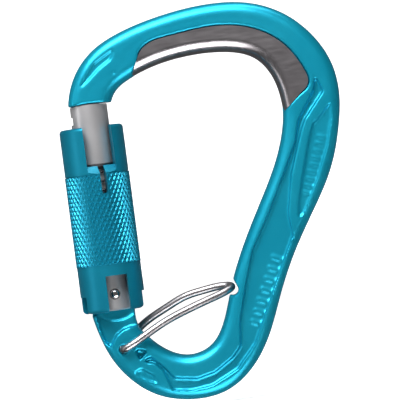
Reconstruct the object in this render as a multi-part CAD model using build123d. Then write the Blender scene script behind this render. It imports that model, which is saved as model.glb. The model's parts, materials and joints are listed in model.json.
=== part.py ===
from build123d import *
import math
import os

# Locking carabiner, pear shaped, in millimetres. It lies in the XZ plane, its gate stands along +Z
# and its thickness is along Y. The parts are drawn about the hinge line and written about the rope
# seat of the top basket.

# Where the rope sits in the top basket, seen from the hinge line
ROPE_SEAT_X = 35.0
ROPE_SEAT_Z = 63.4

# How far the cutting shapes run past the bar and past a smaller piece
PAST_BAR = 9.0
PAST_PIECE = 1.0

# Forged bar
HALF_THICK = 5.5
EDGE_ROUND = 3.1
RELIEF_DEPTH = 1.3
SMALL_RELIEF_DEPTH = 0.6
PANEL_DEPTH = 0.8
LIP_WIDTH = 2.1
GROOVE_WIDTH = 0.5
BASKET_POCKET_DEPTH = 1.6

# Hinge end of the frame
HINGE_X = 0.8
TONGUE_HALF = 2.3
TONGUE_RADIUS = 4.9
TONGUE_REACH = 7.6
NECK_HALF = 2.75
NECK_CUT_HALF = 12.0
PIN_RADIUS = 1.5
PIN_FIT = 0.03
NECK_LINE_Z = -5.3
RIVET_HALF = 5.35
RIVET_DOME = 1.2
RIVET_SINK_RADIUS = 1.75
RIVET_SINK_DEPTH = 0.5

# Keyed nose and its slot, both swept about the hinge line
KEY_WIDE_HALF = 2.3
KEY_NARROW_HALF = 1.2
KEY_TIP_RADIUS = 48.7
KEY_STEP_RADIUS = 50.4
KEY_ROOT_RADIUS = 53.6
KEY_LEFT = -4.3
KEY_BOTTOM = 45.0
KEY_TOP = 56.0
NOSE_CUT_TOP = 60.0
SLOT_TOP = 66.0
SLOT_REACH = 20.0
KEY_BLEND = 1.5
KEY_OVERLAP = 0.1
KEY_RIGHT = 2.9
KEY_GAP = 0.22
KEY_STOP_GAP = 0.15

# Gate rod
GATE_TOP = 53.6
GATE_TOP_SWEEP = 53.33
HEAD_RADIUS = 5.3
HEAD_BOTTOM = 36.3
STEM_RADIUS = 4.7
COLLAR_RADIUS = 5.35
COLLAR_TOP = 9.0
GATE_BOTTOM = -4.6
FORK_HALF = 2.55
FORK_TOP = 9.8
HEAD_CHAMFER = 0.35

# Basket insert
INSERT_WALL = 1.3
INSERT_SEAM = 0.3
POCKET_MOUTH = 3.0
INSERT_PROUD = 0.1
INSERT_ROUND = 3.6
INSERT_FIT = 0.02

# Locking sleeve
SLEEVE_RADIUS = 8.95
SLEEVE_TOP = 47.1
SLEEVE_BOTTOM = -4.8
SLEEVE_BORE = 6.0
SLEEVE_TOP_ROUND = 1.0
SLEEVE_BOTTOM_ROUND = 1.15
KNURL_BED_RADIUS = 8.78
KNURL_BOTTOM = 8.3
KNURL_TOP = 33.9
SKIRT_BORE = 7.7
SKIRT_BORE_TOP = 5.4
SEAT_BORE = 5.62
SEAT_TOP = 10.8
BORE_OVERLAP = 0.1
SLEEVE_TWIST = 13.0
NOTCH_HALF = 4.1
NOTCH_FLOOR = 33.8
NOTCH_BEVEL = 2.2
NOTCH_RUNOUT = 0.3
SLIT_HALF = 0.85
SLIT_BOTTOM = 28.2
WINDOW_HALF = 3.08
WINDOW_TOP = 5.2
SKIRT_NOTCH_HALF = 3.4
SKIRT_NOTCH_WIDE = 5.0
SKIRT_NOTCH_TOP = 0.0

# Sleeve spring and the rings at its ends
WASHER_THICK = 0.6
WASHER_RADIUS = 5.9
WASHER_GAP = 0.15
SEAT_GAP = 0.05
RING_THICK = 0.8
RING_BOTTOM = 35.1
RING_INNER = 4.3
RING_RADIUS = 5.7
RING_MOUTH = 1.2
COIL_MEAN_RADIUS = 5.36
COIL_WIRE_RADIUS = 0.3
COIL_TURNS = 9

# Guide pin
GUIDE_PIN_Z = 7.2
GUIDE_PIN_RADIUS = 0.7
GUIDE_PIN_REACH = 7.3
GUIDE_PIN_ROOT = 2.9
TRACK_RADIUS = 7.7
TRACK_TOP = 8.3
TRACK_END = 10.0
SLEEVE_TURN = 77.0

# Plunger and its spring, inside the gate
PLUNGER_RADIUS = 1.5
PLUNGER_TOP = 14.0
PLUNGER_BORE_TOP = 30.0
PLUNGER_CHAMFER = 0.3
PLUNGER_SPRING_WIRE = 0.22
PLUNGER_COIL_RADIUS = 1.1
PLUNGER_TURNS = 14
CAM_FLAT_Z = 4.1
CAM_GAP = 0.05

# Wire retainer
WIRE_RADIUS = 1.1
WIRE_PIVOT = (1.2, -15.7)
WIRE_HOLE_RADIUS = 1.25
WIRE_SEAT_GAP = 0.4
WIRE_SEAT_STEP = 1.5
WIRE_SEAT_CUTS = 6
WIRE_TIP = (33.3, -2.3)
WIRE_PIN_END = 2.6
WIRE_BEND_START = 5.75
WIRE_ROUTE = [(1.65, -6.85, -15.5), (2.7, -7.25, -15.05), (7.5, -6.9, -12.6), (14.2, -5.9, -9.2),
              (20.1, -4.7, -7.0), (25.7, -3.6, -5.2), (30.5, -2.4, -3.7), (32.7, -1.4, -2.8),
              (33.3, 0, -2.3), (32.9, 1.4, -2.0), (31.2, 2.4, -1.8), (25.8, 3.6, -2.3),
              (19.8, 4.7, -3.5), (14.6, 5.9, -5.8), (7.3, 6.9, -9.7), (4.6, 7.15, -12.0),
              (2.9, 7.3, -13.9), (1.7, 6.9, -15.2)]

# Outer edge of the bar, from the gate's top over the basket, down the spine and round to the hinge
OUTER = [(-5.6, 52.6), (-4.7, 57.0), (-2.0, 62.7), (3.4, 68.3), (11.5, 72.3), (24.2, 75.6),
         (38.0, 76.95), (49.0, 75.6), (58.3, 71.1), (64.8, 64.6), (69.0, 56.6), (70.2, 48.0),
         (68.9, 38.7), (64.9, 26.5), (58.0, 14.7), (51.7, 4.3), (46.6, -6.4), (42.0, -17.1),
         (36.7, -24.9), (28.5, -30.8), (18.0, -32.0), (8.6, -29.4), (1.4, -23.6), (-3.0, -16.8),
         (-5.3, -10.2), (-6.4, -5.3), (-6.7, 3.0)]

# Inner edge of the bar, from the hinge round the bottom basket, up the spine and under the top basket
INNER = [(5.4, 3.0), (5.6, -5.0), (6.3, -10.2), (8.4, -13.1), (12.6, -17.0), (19.3, -19.6),
         (25.7, -17.6), (30.2, -10.9), (33.4, -1.8), (38.2, 9.0), (44.5, 20.4), (49.6, 29.9),
         (52.9, 38.8), (54.0, 46.0), (52.4, 54.2), (48.0, 60.3), (40.0, 63.1), (30.0, 63.4),
         (21.5, 62.3), (13.9, 59.7), (8.4, 56.4), (6.4, 52.6)]

# The hinge web under the tongue, and the faces of the web between the left rail and the wire's boss
HINGE_WEB = [(-6.4, -5.5), (-4.05, 0.6), (5.6, 0.6), (5.65, -5.5)]
NECK_FACE = [(-12, -5.2), (-5.2, -5.2), (-4.6, -9.5), (-3.4, -13.4), (-2.3, -14.9), (-1.7, -13.8),
             (-0.3, -11.6), (1.7, -10.3), (3.7, -9.7), (12, -9.7), (12, 10), (-12, 10)]

# The insert's own outline: its rope face, then its back edge in the bar
INSERT_INNER = [(13.2, 59.5), (21.0, 62.1), (30.0, 63.4), (40.0, 63.1), (48.0, 60.3), (52.4, 54.2),
                (54.0, 46.0), (54.1, 44.3)]
INSERT_BACK = [(59.9, 49.3), (61.9, 52.4), (61.0, 55.6), (55.8, 63.6), (47.0, 68.9), (36.0, 70.4),
               (25.0, 69.3), (18.4, 67.7), (16.0, 65.4)]

# Forged relief: the channel down the spine and round the bottom basket
CHANNEL_INNER = [(63.9, 53.4), (63.0, 49.2), (57.7, 41.6), (56.2, 36.0), (51.6, 27.0), (46.6, 17.5),
                 (40.3, 7.1), (37.6, -1.0), (34.3, -12.0), (33.6, -18.9), (30.9, -21.8), (25.7, -25.1),
                 (20.5, -26.3), (14.3, -25.3), (11.4, -21.5), (8.4, -18.6)]
CHANNEL_OUTER = [(5.6, -19.7), (9.4, -20.7), (11.4, -23.0), (13.3, -28.7), (18.5, -29.5), (24.5, -28.8),
                 (32.0, -25.2), (37.8, -18.8), (43.5, -7.4), (47.6, 1.0), (52.1, 9.8), (51.6, 16.0),
                 (54.0, 27.0), (58.0, 38.0), (59.6, 41.4), (65.8, 48.7)]
PANEL = [(67.3, 45.3), (61.6, 39.9), (60.3, 37.0), (57.5, 28.0), (54.9, 19.3), (54.2, 14.2),
         (56.0, 15.4), (61.0, 24.6), (65.0, 33.5), (67.0, 40.5)]
LEAF = [(-1.6, 57.8), (-0.8, 59.4), (3.4, 64.6), (9.3, 67.9), (8.1, 65.0), (4.4, 62.7), (1.5, 60.2)]
NOSE_GROOVE = [(-3.0, 55.0), (0.2, 55.3), (3.0, 58.6), (9.8, 61.4), (13.1, 65.6), (15.0, 67.6),
               (14.6, 68.0), (12.7, 66.0), (9.6, 61.9), (2.7, 59.1), (0.0, 55.8), (-3.0, 55.5)]
BASKET_POCKET = [(4.3, -16.0), (8.0, -16.9), (5.2, -19.2)]
HEEL_POCKET = [(3.4, -22.2), (5.5, -21.6), (8.7, -23.9), (9.7, -26.4), (7.2, -25.4), (4.6, -23.8)]

# Raised marks: where each row starts and ends, then each bar's length, width and reach from the middle plane
MARK_ROWS = [((46.9, 4.0), (38.9, -13.0), 7, 3.2, 1.0, 4.45),
             ((63.6, 36.0), (57.6, 21.0), 9, 2.0, 0.6, 4.9)]
MARK_TILT = 25.0


def in_plane(points):
    """Points given as x and z, laid in the carabiner's plane."""
    return [Vector(x, 0, z) for x, z in points]


def slab(wire_edges, low_y, high_y):
    """A flat plate of the carabiner's outline between two values of y."""
    face = Face(Wire(wire_edges))
    solid = Solid.extrude(face, Vector(0, high_y - low_y, 0))
    return Pos(0, low_y, 0) * solid


def polygon_edges(points):
    corners = in_plane(points)
    return [Edge.make_line(a, b) for a, b in zip(corners, corners[1:] + corners[:1])]


def polygon_slab(points, low_y, high_y):
    return slab(polygon_edges(points), low_y, high_y)


def ring_about_hinge(inner, outer, half_width):
    """A ring about the hinge line, as wide as the part that sweeps along it."""
    turn = Pos(HINGE_X, 0, 0) * Rot(90, 0, 0)
    disc = turn * Cylinder(outer, 2 * half_width)
    return disc - turn * Cylinder(inner, 2 * half_width + PAST_PIECE)


def tube(outer, inner, bottom, top):
    height = top - bottom
    middle = Pos(0, 0, bottom + height / 2)
    return middle * Cylinder(outer, height) - middle * Cylinder(inner, height + PAST_PIECE)


def rod(radius, bottom, top):
    height = top - bottom
    return Pos(0, 0, bottom + height / 2) * Cylinder(radius, height)


def block(x_range, y_range, z_range):
    size = [high - low for low, high in (x_range, y_range, z_range)]
    centre = [(high + low) / 2 for low, high in (x_range, y_range, z_range)]
    return Pos(*centre) * Box(*size)


def helix_coil(mean_radius, wire_radius, bottom, top, turns):
    """A closed-end coil spring standing on the gate axis between two seats."""
    height = top - bottom - 2 * wire_radius
    path = Edge.make_helix(height / turns, height, mean_radius, center=(0, 0, bottom + wire_radius))
    profile = Plane(origin=path @ 0, z_dir=path % 0) * Circle(wire_radius)
    return sweep(profile, path=Wire(path), is_frenet=True)


def smooth(points):
    return Edge.make_spline(in_plane(points))


def join(first, second):
    """Straight line from the end of one edge to the start of the next."""
    return Edge.make_line(first @ 1, second @ 0)


def closed_pair(first_points, second_points):
    """A closed outline of two smooth sides, joined by straight ends."""
    first = smooth(first_points)
    second = smooth(second_points)
    return [first, join(first, second), second, join(second, first)]


def shifted(points, distance):
    """A line of points moved sideways, to its left for a positive distance."""
    moved = []
    for i, (x, z) in enumerate(points):
        before = points[max(i - 1, 0)]
        after = points[min(i + 1, len(points) - 1)]
        run = after[0] - before[0]
        rise = after[1] - before[1]
        length = math.hypot(run, rise)
        moved.append((x - distance * rise / length, z + distance * run / length))
    return moved


def cylinder_along_y(radius, x, z, low_y, high_y):
    turn = Pos(x, (low_y + high_y) / 2, z) * Rot(90, 0, 0)
    return turn * Cylinder(radius, high_y - low_y)


def on_both_faces(points_edges, depth):
    """The same shallow pocket in the front and in the back of the bar."""
    front = slab(points_edges, -HALF_THICK - PAST_PIECE, depth - HALF_THICK)
    return front + front.mirror(Plane.XZ)


def bar():
    plate = slab(closed_pair(OUTER, INNER), -HALF_THICK, HALF_THICK)
    longest = plate.edges().sort_by(SortBy.LENGTH)[-4:]
    return plate.fillet(EDGE_ROUND, longest)


def hinge_plate(half_width):
    web = polygon_slab(HINGE_WEB, -half_width, half_width)
    return web + cylinder_along_y(TONGUE_RADIUS, HINGE_X, 0, -half_width, half_width)


def with_hinge_end(body):
    """Thins the bar's lower end to a web, and the web to the tongue that the gate's fork straddles."""
    body -= block((-NECK_CUT_HALF, NECK_CUT_HALF), (-PAST_BAR, PAST_BAR), (NECK_LINE_Z, PAST_BAR))
    body += hinge_plate(NECK_HALF)
    for low, high in ((-PAST_BAR, -NECK_HALF), (NECK_HALF, PAST_BAR)):
        body -= polygon_slab(NECK_FACE, low, high)
    for low, high in ((-PAST_BAR, -TONGUE_HALF), (TONGUE_HALF, PAST_BAR)):
        body -= cylinder_along_y(TONGUE_REACH, HINGE_X, 0, low, high)
    body -= block((-PAST_BAR, PAST_BAR), (-PAST_BAR, PAST_BAR), (CAM_FLAT_Z, PAST_BAR))
    return body - cylinder_along_y(PIN_RADIUS + PIN_FIT, HINGE_X, 0, -PAST_BAR, PAST_BAR)


def key_sweep(tip, step, root, wide, narrow):
    return ring_about_hinge(tip, step, wide) + ring_about_hinge(step - KEY_OVERLAP, root, narrow)


def nose_key():
    """T-shaped key that the gate closes over."""
    root = KEY_ROOT_RADIUS + KEY_BLEND
    key = key_sweep(KEY_TIP_RADIUS, KEY_STEP_RADIUS, root, KEY_WIDE_HALF, KEY_NARROW_HALF)
    return key & block((KEY_LEFT, KEY_RIGHT), (-PAST_BAR, PAST_BAR), (KEY_BOTTOM, KEY_TOP))


def key_slot():
    slot = key_sweep(KEY_TIP_RADIUS - KEY_GAP, KEY_STEP_RADIUS + KEY_GAP, KEY_ROOT_RADIUS + PAST_BAR,
                     KEY_WIDE_HALF + KEY_GAP, KEY_NARROW_HALF + KEY_GAP)
    span = (-SLOT_REACH, KEY_RIGHT + KEY_STOP_GAP)
    return slot & block(span, (-PAST_BAR, PAST_BAR), (KEY_BOTTOM, SLOT_TOP))


def insert_pocket():
    """Room for the insert, a hair wider than its back edge."""
    edges = closed_pair(shifted(INSERT_INNER, -POCKET_MOUTH), shifted(INSERT_BACK, -INSERT_SEAM))
    return slab(edges, -PAST_BAR, PAST_BAR)


def insert_core(gap):
    """The bar's thinner rib that the insert is pressed over."""
    half = HALF_THICK - INSERT_WALL + gap
    rope_side = shifted(INSERT_INNER, INSERT_WALL - gap)
    back_side = shifted(INSERT_BACK, -INSERT_WALL)
    rib = slab(closed_pair(rope_side, back_side), -half, half)
    return rib


def wire_tip_seat():
    """Shallow seat in the spine where the wire's tip rests and from which it swings up."""
    tip_x, tip_z = WIRE_TIP
    pivot_x, pivot_z = WIRE_PIVOT
    reach = math.hypot(tip_x - pivot_x, tip_z - pivot_z)
    start = math.atan2(tip_z - pivot_z, tip_x - pivot_x)
    seats = []
    for step in range(-1, WIRE_SEAT_CUTS - 1):
        angle = start + math.radians(WIRE_SEAT_STEP * step)
        x = pivot_x + reach * math.cos(angle)
        z = pivot_z + reach * math.sin(angle)
        seats.append(cylinder_along_y(WIRE_RADIUS + WIRE_SEAT_GAP, x, z, -PAST_BAR, PAST_BAR))
    return seats


def relief_marks():
    """Two rows of plain raised bars, in the channel of the lower spine and in the panel above it."""
    marks = []
    for start, end, count, length, width, half in MARK_ROWS:
        for step in range(count):
            share = step / (count - 1)
            x = start[0] + share * (end[0] - start[0])
            z = start[1] + share * (end[1] - start[1])
            marks.append(Pos(x, 0, z) * Rot(0, MARK_TILT, 0) * Box(length, 2 * half, width))
    return marks


def frame_body():
    body = with_hinge_end(bar())
    for depth, edges in relief_outlines():
        body -= on_both_faces(edges, depth)
    for mark in relief_marks():
        body += mark
    body = body - insert_pocket() - insert_plate(HALF_THICK + PAST_PIECE) + insert_core(0)
    nose_cut = block((-PAST_BAR, PAST_BAR), (-PAST_BAR, PAST_BAR), (KEY_BOTTOM, NOSE_CUT_TOP))
    body -= cylinder_along_y(KEY_ROOT_RADIUS, HINGE_X, 0, -PAST_BAR, PAST_BAR) & nose_cut
    body += nose_key()
    body -= cylinder_along_y(WIRE_HOLE_RADIUS, *WIRE_PIVOT, -PAST_BAR, PAST_BAR)
    for seat in wire_tip_seat():
        body -= seat
    return body


def relief_outlines():
    lip = shifted(INSERT_BACK, -LIP_WIDTH)
    lip_groove = closed_pair(lip, list(reversed(shifted(lip, -GROOVE_WIDTH))))
    return [
        (RELIEF_DEPTH, polygon_edges(CHANNEL_INNER + CHANNEL_OUTER)),
        (PANEL_DEPTH, polygon_edges(PANEL)),
        (SMALL_RELIEF_DEPTH, polygon_edges(LEAF)),
        (SMALL_RELIEF_DEPTH, polygon_edges(NOSE_GROOVE)),
        (SMALL_RELIEF_DEPTH, lip_groove),
        (BASKET_POCKET_DEPTH, polygon_edges(BASKET_POCKET)),
        (SMALL_RELIEF_DEPTH, polygon_edges(HEEL_POCKET)),
    ]


def insert_plate(half):
    return slab(closed_pair(INSERT_INNER, INSERT_BACK), -half, half)


def basket_insert():
    saddle = insert_plate(HALF_THICK + INSERT_PROUD)
    longest = saddle.edges().sort_by(SortBy.LENGTH)[-4:]
    rope_edges = longest.sort_by(lambda edge: edge.length)[:2]
    saddle = saddle.fillet(INSERT_ROUND, rope_edges)
    return saddle - insert_core(INSERT_FIT)


def gate_body():
    top_sweep = cylinder_along_y(GATE_TOP_SWEEP, HINGE_X, 0, -PAST_BAR, PAST_BAR)
    gate = rod(HEAD_RADIUS, HEAD_BOTTOM, GATE_TOP) & top_sweep
    gate = gate.chamfer(HEAD_CHAMFER, None, gate.edges().filter_by(GeomType.CIRCLE))
    gate += rod(STEM_RADIUS, COLLAR_TOP - PAST_PIECE, HEAD_BOTTOM + PAST_PIECE)
    collar = rod(COLLAR_RADIUS, GATE_BOTTOM, COLLAR_TOP)
    gate += collar.chamfer(HEAD_CHAMFER, None, collar.edges().filter_by(GeomType.CIRCLE))
    gate -= block((-PAST_BAR, PAST_BAR), (-FORK_HALF, FORK_HALF), (GATE_BOTTOM - PAST_PIECE, FORK_TOP))
    gate -= key_slot()
    gate -= tube(STEM_RADIUS + PAST_PIECE, RING_INNER, RING_BOTTOM, RING_BOTTOM + RING_THICK)
    gate -= rod(PLUNGER_RADIUS + PIN_FIT, 0, PLUNGER_BORE_TOP)
    gate -= cylinder_along_y(GUIDE_PIN_RADIUS, 0, GUIDE_PIN_Z, GUIDE_PIN_ROOT, PAST_BAR)
    for side in (-1, 1):
        sink_start = side * (COLLAR_RADIUS - RIVET_SINK_DEPTH)
        low, high = sorted((sink_start, side * PAST_BAR))
        gate -= cylinder_along_y(RIVET_SINK_RADIUS, HINGE_X, 0, low, high)
    return gate - cylinder_along_y(PIN_RADIUS, HINGE_X, 0, -PAST_BAR, PAST_BAR)


def gate_hinge_rivet():
    shank = cylinder_along_y(PIN_RADIUS, HINGE_X, 0, -RIVET_HALF, RIVET_HALF)
    ends = shank.edges().filter_by(GeomType.CIRCLE)
    return shank.fillet(RIVET_DOME, ends)


def gate_plunger():
    pin = rod(PLUNGER_RADIUS, CAM_FLAT_Z + CAM_GAP, PLUNGER_TOP)
    return pin.chamfer(PLUNGER_CHAMFER, None, pin.edges().filter_by(GeomType.CIRCLE))


def gate_return_spring():
    return helix_coil(PLUNGER_COIL_RADIUS, PLUNGER_SPRING_WIRE, PLUNGER_TOP, PLUNGER_BORE_TOP, PLUNGER_TURNS)


def sleeve_bore():
    bore = rod(SLEEVE_BORE, SEAT_TOP, SLEEVE_TOP + PAST_PIECE)
    bore += rod(SEAT_BORE, SLEEVE_BOTTOM, SEAT_TOP + BORE_OVERLAP)
    return bore + rod(SKIRT_BORE, SLEEVE_BOTTOM - PAST_PIECE, SKIRT_BORE_TOP)


def guide_track():
    """Pocket in the bore that the guide pin runs in as the sleeve lifts and turns."""
    pin_angle = 90 - SLEEVE_TWIST
    first = pin_angle - SLEEVE_TURN - TRACK_END
    sweep_angle = SLEEVE_TURN + 2 * TRACK_END
    bottom = SKIRT_BORE_TOP - PAST_PIECE
    standing = (Align.NONE, Align.NONE, Align.MIN)
    ring = Cylinder(TRACK_RADIUS, TRACK_TOP - bottom, arc_size=sweep_angle, align=standing)
    return Rot(0, 0, first) * Pos(0, 0, bottom) * ring


def top_notch():
    """Open notch between the prongs, its floor scooped down towards the outside."""
    outside = -SLEEVE_RADIUS - NOTCH_RUNOUT
    above = SLEEVE_TOP + PAST_PIECE
    profile = [(0, NOTCH_FLOOR + NOTCH_BEVEL), (-SLEEVE_BORE, NOTCH_FLOOR + NOTCH_BEVEL),
               (outside, NOTCH_FLOOR - NOTCH_RUNOUT), (outside, above), (0, above)]
    return Rot(0, 0, 90) * polygon_slab(profile, -NOTCH_HALF, NOTCH_HALF)


def locking_sleeve():
    sleeve = rod(SLEEVE_RADIUS, SLEEVE_BOTTOM, SLEEVE_TOP)
    rims = sleeve.edges().filter_by(GeomType.CIRCLE).sort_by(Axis.Z)
    sleeve = sleeve.fillet(SLEEVE_TOP_ROUND, rims[-1:]).fillet(SLEEVE_BOTTOM_ROUND, rims[:1])
    sleeve -= tube(SLEEVE_RADIUS + PAST_PIECE, KNURL_BED_RADIUS, KNURL_BOTTOM, KNURL_TOP)
    sleeve -= sleeve_bore()
    sleeve -= guide_track()
    sleeve -= top_notch()
    sleeve -= Rot(0, 0, 180) * top_notch()
    outside = SLEEVE_RADIUS + PAST_PIECE
    below = SLEEVE_BOTTOM - PAST_PIECE
    sleeve -= block((-SLIT_HALF, SLIT_HALF), (-outside, 0), (SLIT_BOTTOM, SLEEVE_TOP))
    sleeve -= block((-WINDOW_HALF, WINDOW_HALF), (-outside, outside), (below, WINDOW_TOP))
    sleeve -= block((-outside, 0), (-SKIRT_NOTCH_HALF, SKIRT_NOTCH_HALF), (below, SKIRT_NOTCH_TOP))
    sleeve -= block((0, outside), (-SKIRT_NOTCH_WIDE, SKIRT_NOTCH_HALF), (below, SKIRT_NOTCH_TOP))
    return Rot(0, 0, SLEEVE_TWIST) * sleeve


def sleeve_thrust_washer():
    bottom = SEAT_TOP + SEAT_GAP
    return tube(WASHER_RADIUS, STEM_RADIUS + WASHER_GAP, bottom, bottom + WASHER_THICK)


def spring_retaining_ring():
    ring = tube(RING_RADIUS, RING_INNER, RING_BOTTOM, RING_BOTTOM + RING_THICK)
    top = RING_BOTTOM + RING_THICK
    mouth = block((-RING_MOUTH, RING_MOUTH), (0, PAST_BAR), (RING_BOTTOM - PAST_PIECE, top + PAST_PIECE))
    return ring - mouth


def sleeve_spring():
    bottom = SEAT_TOP + SEAT_GAP + WASHER_THICK
    return helix_coil(COIL_MEAN_RADIUS, COIL_WIRE_RADIUS, bottom, RING_BOTTOM, COIL_TURNS)


def sleeve_guide_pin():
    return cylinder_along_y(GUIDE_PIN_RADIUS, 0, GUIDE_PIN_Z, GUIDE_PIN_ROOT, GUIDE_PIN_REACH)


def wire_retainer():
    """Bent wire whose two legs turn into holes on either side of the bar and whose tip meets the spine."""
    x, z = WIRE_PIVOT
    route = [Vector(x, -WIRE_BEND_START, z)] + [Vector(*point) for point in WIRE_ROUTE]
    route.append(Vector(x, WIRE_BEND_START, z))
    inwards = Vector(0, -1, 0)
    legs = Edge.make_spline(route, tangents=[inwards, inwards], scale=False)
    profile = Plane(origin=legs @ 0, z_dir=legs % 0) * Circle(WIRE_RADIUS)
    wire = sweep(profile, path=Wire([legs]))
    wire += cylinder_along_y(WIRE_RADIUS, x, z, -WIRE_BEND_START, -WIRE_PIN_END)
    return wire + cylinder_along_y(WIRE_RADIUS, x, z, WIRE_PIN_END, WIRE_BEND_START)


def main():
    os.makedirs("parts", exist_ok=True)
    makers = [frame_body, basket_insert, gate_body, gate_hinge_rivet, gate_plunger, gate_return_spring,
              locking_sleeve, sleeve_thrust_washer, spring_retaining_ring, sleeve_spring, sleeve_guide_pin,
              wire_retainer]
    for maker in makers:
        piece = Pos(-ROPE_SEAT_X, 0, -ROPE_SEAT_Z) * maker()
        export_step(piece, f"parts/{maker.__name__}.step")


main()
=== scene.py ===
import bpy
import json
import math
from mathutils import Vector, Matrix

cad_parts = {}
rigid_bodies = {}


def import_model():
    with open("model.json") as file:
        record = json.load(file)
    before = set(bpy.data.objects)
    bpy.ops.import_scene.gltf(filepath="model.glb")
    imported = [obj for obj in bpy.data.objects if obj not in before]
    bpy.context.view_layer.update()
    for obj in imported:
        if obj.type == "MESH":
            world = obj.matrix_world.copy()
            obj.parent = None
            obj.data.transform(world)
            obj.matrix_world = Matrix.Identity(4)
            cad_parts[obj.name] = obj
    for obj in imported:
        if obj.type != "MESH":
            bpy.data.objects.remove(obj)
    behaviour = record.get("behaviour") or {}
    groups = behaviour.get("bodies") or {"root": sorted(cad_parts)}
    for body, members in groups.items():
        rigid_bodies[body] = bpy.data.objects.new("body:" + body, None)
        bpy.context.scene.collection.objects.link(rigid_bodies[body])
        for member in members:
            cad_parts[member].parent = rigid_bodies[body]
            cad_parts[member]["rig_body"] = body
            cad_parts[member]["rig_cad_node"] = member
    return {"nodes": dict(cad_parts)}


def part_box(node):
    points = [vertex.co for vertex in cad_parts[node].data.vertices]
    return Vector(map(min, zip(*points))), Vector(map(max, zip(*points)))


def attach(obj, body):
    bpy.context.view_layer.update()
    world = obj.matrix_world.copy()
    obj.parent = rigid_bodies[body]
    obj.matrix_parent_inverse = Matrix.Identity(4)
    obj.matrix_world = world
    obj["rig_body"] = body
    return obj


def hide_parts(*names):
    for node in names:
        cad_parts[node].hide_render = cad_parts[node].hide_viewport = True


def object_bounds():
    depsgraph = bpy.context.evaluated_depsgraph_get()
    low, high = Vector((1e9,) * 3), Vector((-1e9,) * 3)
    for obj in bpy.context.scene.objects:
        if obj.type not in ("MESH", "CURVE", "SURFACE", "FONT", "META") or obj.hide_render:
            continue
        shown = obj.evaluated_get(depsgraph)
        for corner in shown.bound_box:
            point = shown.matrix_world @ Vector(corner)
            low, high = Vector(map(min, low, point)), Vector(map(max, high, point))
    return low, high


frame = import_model()
cad_low, cad_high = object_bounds()


# --- Frame body ------------------------------------------------------------------------------------------
# One forged aluminium bar bent to a pear shape, with shallow relief in both faces. It is tumbled to a
# fine satin and anodised turquoise, so the colour is even and the surface keeps a very fine blasted grain.
class Value:
    """A shader value that can be added, multiplied and mixed like a number."""

    def __init__(self, tree, socket):
        self.tree = tree
        self.socket = socket

    def math(self, operation, other):
        node = self.tree.nodes.new("ShaderNodeMath")
        node.operation = operation
        self.tree.links.new(self.socket, node.inputs[0])
        if isinstance(other, Value):
            self.tree.links.new(other.socket, node.inputs[1])
        else:
            node.inputs[1].default_value = other
        return Value(self.tree, node.outputs[0])

    def __add__(self, other):
        return self.math("ADD", other)

    def __mul__(self, other):
        return self.math("MULTIPLY", other)

    __radd__ = __add__
    __rmul__ = __mul__


class Finish:
    """A procedural material under construction."""

    def __init__(self, name, metallic, roughness, specular=0.5):
        self.material = bpy.data.materials.new(name)
        self.material.use_nodes = True
        self.tree = self.material.node_tree
        self.shader = self.tree.nodes["Principled BSDF"]
        self.shader.inputs["Metallic"].default_value = metallic
        self.shader.inputs["Roughness"].default_value = roughness
        self.shader.inputs["Specular IOR Level"].default_value = specular

    def node(self, kind, output, settings=None, **inputs):
        made = self.tree.nodes.new(kind)
        for key, value in (settings or {}).items():
            setattr(made, key, value)
        for key, value in inputs.items():
            socket = made.inputs[key.replace("_", " ")]
            if isinstance(value, Value):
                self.tree.links.new(value.socket, socket)
            else:
                socket.default_value = value
        return Value(self.tree, made.outputs[output])

    def place(self):
        return self.node("ShaderNodeTexCoord", "Object")

    def stretched(self, scale):
        return self.node("ShaderNodeMapping", "Vector", Vector=self.place(), Scale=scale)

    def noise(self, scale, detail=3.0, where=None):
        spot = where or self.place()
        return self.node("ShaderNodeTexNoise", "Fac", Vector=spot, Scale=scale, Detail=detail)

    def colour_between(self, factor, low, high):
        ramp = self.tree.nodes.new("ShaderNodeValToRGB")
        ramp.color_ramp.elements[0].color = (*low, 1)
        ramp.color_ramp.elements[1].color = (*high, 1)
        ramp.color_ramp.elements[0].position = 0.3
        ramp.color_ramp.elements[1].position = 0.7
        self.tree.links.new(factor.socket, ramp.inputs[0])
        return Value(self.tree, ramp.outputs[0])

    def feed(self, name, value):
        self.tree.links.new(value.socket, self.shader.inputs[name])

    def bump(self, height, strength, distance):
        node = self.tree.nodes.new("ShaderNodeBump")
        node.inputs["Strength"].default_value = strength
        node.inputs["Distance"].default_value = distance
        self.tree.links.new(height.socket, node.inputs["Height"])
        self.feed("Normal", Value(self.tree, node.outputs[0]))


def only(piece):
    """Selects one piece and nothing else."""
    bpy.ops.object.select_all(action="DESELECT")
    piece.select_set(True)
    bpy.context.view_layer.objects.active = piece


def smooth_copy(node, name, body, angle):
    """A CAD node's own mesh with its seams merged and its curved faces shaded smooth."""
    piece = frame["nodes"][node].copy()
    piece.data = piece.data.copy()
    piece.name = name
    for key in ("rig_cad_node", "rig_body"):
        del piece[key]
    bpy.context.scene.collection.objects.link(piece)
    piece.parent = None
    only(piece)
    bpy.ops.object.mode_set(mode="EDIT")
    bpy.ops.mesh.select_all(action="SELECT")
    bpy.ops.mesh.remove_doubles(threshold=0.000002)
    bpy.ops.mesh.normals_make_consistent(inside=False)
    bpy.ops.object.mode_set(mode="OBJECT")
    bpy.ops.object.shade_smooth_by_angle(angle=math.radians(angle))
    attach(piece, body)
    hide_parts(node)
    return piece


def paint(piece, finish):
    piece.data.materials.clear()
    piece.data.materials.append(finish.material)


def paint_node(node, finish):
    """Gives a carried-over CAD node, whose shape is right as it is, its finish."""
    piece = frame["nodes"][node]
    piece.material_slots[0].material = finish.material


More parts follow.
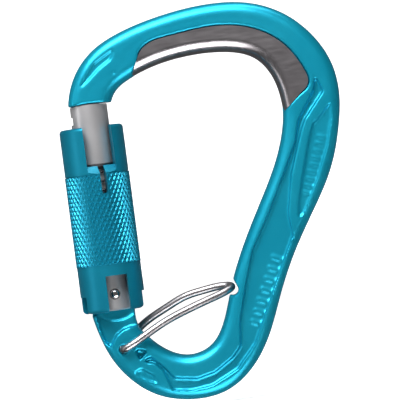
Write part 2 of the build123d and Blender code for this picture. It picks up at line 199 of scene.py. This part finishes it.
def anodised(name, deep, light, roughness):
    """Satin anodised aluminium: a metal under a dyed skin, with a fine blasted grain."""
    finish = Finish(name, 0.72, roughness)
    finish.shader.inputs["Coat Weight"].default_value = 0.06
    finish.shader.inputs["Coat Roughness"].default_value = 0.35
    drift = finish.noise(70.0)
    finish.feed("Base Color", finish.colour_between(drift, deep, light))
    finish.feed("Roughness", finish.noise(900.0) * 0.12 + (roughness - 0.06))
    finish.bump(finish.noise(5200.0, 2.0), 0.10, 0.00002)
    return finish


def soften_skin(piece, voxel, rounds):
    """Rebuilds a piece's skin as one even mesh and rubs its sharp edges down."""
    only(piece)
    skin = piece.modifiers.new("even_skin", "REMESH")
    skin.mode = "VOXEL"
    skin.voxel_size = voxel
    bpy.ops.object.modifier_apply(modifier="even_skin")
    soften = piece.modifiers.new("rubbed_edges", "SMOOTH")
    soften.factor = 0.5
    soften.iterations = rounds
    bpy.ops.object.modifier_apply(modifier="rubbed_edges")
    bpy.ops.object.shade_smooth()


body_finish = anodised("anodised_body", (0.0, 0.28, 0.415), (0.004, 0.32, 0.46), 0.38)
frame_piece = smooth_copy("frame_body", "forged_frame", "frame", 60)
frame_mesh_size = 0.00038
soften_skin(frame_piece, frame_mesh_size, 2)
paint(frame_piece, body_finish)


# --- Basket insert ---------------------------------------------------------------------------------------
# A stamped stainless saddle pressed over the rib inside the top basket. Its rope face is polished, and light
# scratches run along it from ropes.
def steel(name, deep, light, roughness, scratch):
    """Bright stainless steel with fine scratches drawn out along one direction."""
    finish = Finish(name, 1.0, roughness)
    finish.feed("Base Color", finish.colour_between(finish.noise(160.0), deep, light))
    lines = finish.noise(240.0, 4.0, finish.stretched(scratch))
    finish.feed("Roughness", lines * 0.16 + (roughness - 0.06))
    finish.bump(lines, 0.08, 0.00003)
    return finish


insert_finish = steel("polished_insert", (0.44, 0.41, 0.43), (0.54, 0.51, 0.53), 0.30, (1, 14, 5))
paint_node("basket_insert", insert_finish)


# --- Gate, its rivet and what it carries -----------------------------------------------------------------
# The gate is a turned aluminium rod, clear anodised to a satin silver, and it hangs on a polished steel rivet.
# The plunger, guide pin and thrust washer inside it are plain steel. The springs and retaining ring are
# coloured near black, which is painted shade so the spring seen in the sleeve's slit reads as the dark gap.
gate_finish = Finish("satin_gate", 0.8, 0.38)
gate_drift = gate_finish.noise(90.0)
gate_tone = gate_finish.colour_between(gate_drift, (0.50, 0.49, 0.50), (0.58, 0.57, 0.58))
gate_finish.feed("Base Color", gate_tone)
turning = gate_finish.noise(300.0, 3.0, gate_finish.stretched((0.3, 0.3, 12)))
gate_finish.feed("Roughness", turning * 0.14 + 0.32)
gate_finish.bump(turning, 0.06, 0.00002)
paint_node("gate_body", gate_finish)

rivet_finish = steel("rivet_steel", (0.62, 0.61, 0.62), (0.76, 0.75, 0.76), 0.2, (1, 1, 1))
for node in ("gate_hinge_rivet", "gate_plunger", "sleeve_guide_pin", "sleeve_thrust_washer"):
    paint_node(node, rivet_finish)

# Near-black spring colour: painted shade for the dark slit the spring shows through, not the steel's own
# colour.
spring_shade_finish = steel("spring_steel", (0.05, 0.05, 0.055), (0.09, 0.09, 0.095), 0.34, (1, 1, 4))
for node in ("gate_return_spring", "sleeve_spring", "spring_retaining_ring"):
    paint_node(node, spring_shade_finish)


# --- Locking sleeve --------------------------------------------------------------------------------------
# A turned aluminium tube, anodised turquoise, with two prongs above and a castellated skirt below. Its
# # turquoise is a darker copy of the body's, which is painted shade for how dark the sleeve looks under the
# # lights. Its middle is rolled with a diamond knurl, which ends at a fine line above the skirt.
# Darker than the body's turquoise: painted shade on the sleeve and its knurl band.
sleeve_shaded_finish = anodised("anodised_sleeve", (0.0, 0.19, 0.29), (0.002, 0.22, 0.33), 0.42)
paint_node("locking_sleeve", sleeve_shaded_finish)

sleeve_low, sleeve_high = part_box("locking_sleeve")
gate_x = (sleeve_low.x + sleeve_high.x) / 2
sleeve_radius = (sleeve_high.x - sleeve_low.x) / 2
knurl_low = sleeve_low.z + 0.0131
knurl_high = sleeve_low.z + 0.0385
slit_low = sleeve_low.z + 0.0330
slit_angle = -math.pi / 2 + math.radians(13)
slit_half = 0.00085 / sleeve_radius
knurl_starts = 40
knurl_rows = 21
ridge_height = 0.00012
pit_depth = 0.00014
ridge_width = 0.00011
pit_wall = 0.00022
backing_depth = 0.0004
row_height = (knurl_high - knurl_low) / knurl_rows
corners = []
faces = []


def past_slit(step, row):
    """The angle round from the middle of the front slit to a lattice point, up to half a turn each way."""
    angle = 2 * math.pi * (step + 0.5 * (row % 2)) / knurl_starts - slit_angle
    return (angle + math.pi) % (2 * math.pi) - math.pi


def rim_point(step, row, radius):
    """A lattice point on the sleeve; one that falls in the slit moves to the slit's nearer edge."""
    height = knurl_low + row * row_height
    aside = past_slit(step, row)
    if height > slit_low and abs(aside) < slit_half:
        aside = math.copysign(slit_half, aside)
    angle = slit_angle + aside
    return (gate_x + radius * math.cos(angle), radius * math.sin(angle), height)


def over_slit(step, row):
    """Whether a diamond that starts at this lattice point would bridge the slit."""
    height = knurl_low + row * row_height
    return height > slit_low - row_height and abs(past_slit(step, row)) < slit_half


for row in range(knurl_rows + 1):
    for step in range(knurl_starts):
        corners.append(rim_point(step, row, sleeve_radius + ridge_height))


def corner(step, row):
    return row * knurl_starts + step % knurl_starts


for row in range(knurl_rows - 1):
    for step in range(knurl_starts):
        side = step + row % 2
        if over_slit(step, row):
            continue
        right_corner = corner(side, row + 1)
        left_corner = corner(side - 1, row + 1)
        faces.append((corner(step, row), right_corner, corner(step, row + 2), left_corner))
for row, upper in ((0, 1), (knurl_rows, knurl_rows - 1)):
    for step in range(knurl_starts):
        side = step + row % 2
        if not over_slit(side, upper):
            faces.append((corner(step, row), corner(step + 1, row), corner(side, upper)))
knurl_mesh = bpy.data.meshes.new("knurl_band")
knurl_mesh.from_pydata(corners, [], faces)
knurl = bpy.data.objects.new("knurl_band", knurl_mesh)
bpy.context.scene.collection.objects.link(knurl)
only(knurl)
bpy.ops.object.mode_set(mode="EDIT")
bpy.ops.mesh.select_all(action="SELECT")
bpy.ops.mesh.normals_make_consistent(inside=False)
bpy.ops.mesh.inset(thickness=ridge_width, depth=0, use_individual=True)
bpy.ops.mesh.inset(thickness=pit_wall, depth=-(ridge_height + pit_depth), use_individual=True)
bpy.ops.object.mode_set(mode="OBJECT")
backing = knurl.modifiers.new("knurl_backing", "SOLIDIFY")
backing.thickness = backing_depth
backing.offset = -1
bpy.ops.object.modifier_apply(modifier="knurl_backing")
paint(knurl, sleeve_shaded_finish)
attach(knurl, "sleeve")


# --- Wire retainer ---------------------------------------------------------------------------------------
# One length of bright drawn stainless wire bent to a narrow loop. Its two ends turn into holes in the bar.
wire_finish = steel("retainer_wire", (0.34, 0.32, 0.33), (0.42, 0.40, 0.41), 0.36, (3, 3, 3))
wire_piece = smooth_copy("wire_retainer", "wire_loop", "wire", 60)
wire_mesh_size = 0.00018
soften_skin(wire_piece, wire_mesh_size, 5)
paint(wire_piece, wire_finish)


# --- Studio ----------------------------------------------------------------------------------------------
# A pale floor that sweeps up behind the object, four large soft lights, and a long lens that looks square
# at the carabiner. None of it is part of the object.
middle = (cad_low + cad_high) / 2
span = cad_high.z - cad_low.z
bpy.ops.object.select_all(action="DESELECT")
bpy.ops.mesh.primitive_plane_add(size=40 * span, location=(middle.x, middle.y, cad_low.z - 0.002))
floor = bpy.context.object
floor.name = "studio_floor"
only(floor)
bpy.ops.object.transform_apply(location=True, rotation=True, scale=True)
bpy.ops.object.mode_set(mode="EDIT")
bpy.ops.mesh.select_all(action="DESELECT")
bpy.ops.object.mode_set(mode="OBJECT")
far_y = max(v.co.y for v in floor.data.vertices)
for edge in floor.data.edges:
    edge.select = all(floor.data.vertices[i].co.y > far_y - 0.001 for i in edge.vertices)
for vertex in floor.data.vertices:
    vertex.select = vertex.co.y > far_y - 0.001
bpy.ops.object.mode_set(mode="EDIT")
bpy.ops.mesh.extrude_region_move(TRANSFORM_OT_translate={"value": (0, 0.3 * span, 12 * span)})
bpy.ops.object.mode_set(mode="OBJECT")
floor_finish = Finish("studio_white", 0.0, 0.9, 0.1)
tone = floor_finish.noise(3.0)
floor_finish.feed("Base Color", floor_finish.colour_between(tone, (0.93, 0.93, 0.93), (0.95, 0.95, 0.95)))
floor_finish.shader.inputs["Emission Color"].default_value = (1, 1, 1, 1)
floor_finish.shader.inputs["Emission Strength"].default_value = 0.75
floor.data.materials.append(floor_finish.material)
floor.visible_glossy = False


def soft_light(name, place, size, watts):
    bpy.ops.object.light_add(type="AREA", location=place)
    light = bpy.context.object
    light.name = name
    light.data.shape = "RECTANGLE"
    light.data.size = size[0]
    light.data.size_y = size[1]
    light.data.energy = watts
    light.rotation_mode = "QUATERNION"
    light.rotation_quaternion = (middle - Vector(place)).to_track_quat("-Z", "Y")
    return light


soft_light("key_light", (middle.x - 0.16, -0.42, middle.z + 0.50), (0.40, 0.26), 8.0)
soft_light("low_light", (middle.x + 0.08, -0.40, middle.z - 0.44), (0.45, 0.40), 4.6)
soft_light("side_light", (middle.x - 0.55, -0.20, middle.z), (0.10, 0.5), 0.4)
soft_light("top_light", (middle.x + 0.05, -0.10, middle.z + 0.55), (0.5, 0.15), 1.8)
world = bpy.data.worlds.new("studio_air")
bpy.context.scene.world = world
world.use_nodes = True
world.node_tree.nodes["Background"].inputs["Color"].default_value = (1, 1, 1, 1)
world.node_tree.nodes["Background"].inputs["Strength"].default_value = 0.10
bpy.context.scene.view_settings.view_transform = "Standard"

lean = math.radians(7.47)
rope_seat_to_view = Vector((-0.0073, 0, -0.0405))
view_width = 0.112
camera_reach = 1.1
camera_data = bpy.data.cameras.new("studio_camera")
camera_data.lens = camera_data.sensor_width * camera_reach / view_width
camera = bpy.data.objects.new("studio_camera", camera_data)
bpy.context.scene.collection.objects.link(camera)
right = Vector((math.cos(lean), 0, -math.sin(lean)))
up = Vector((math.sin(lean), 0, math.cos(lean)))
back = Vector((0, -1, 0))
turn = Matrix((right, up, back)).transposed()
camera.matrix_world = Matrix.Translation(rope_seat_to_view + back * camera_reach) @ turn.to_4x4()
bpy.context.scene.camera = camera
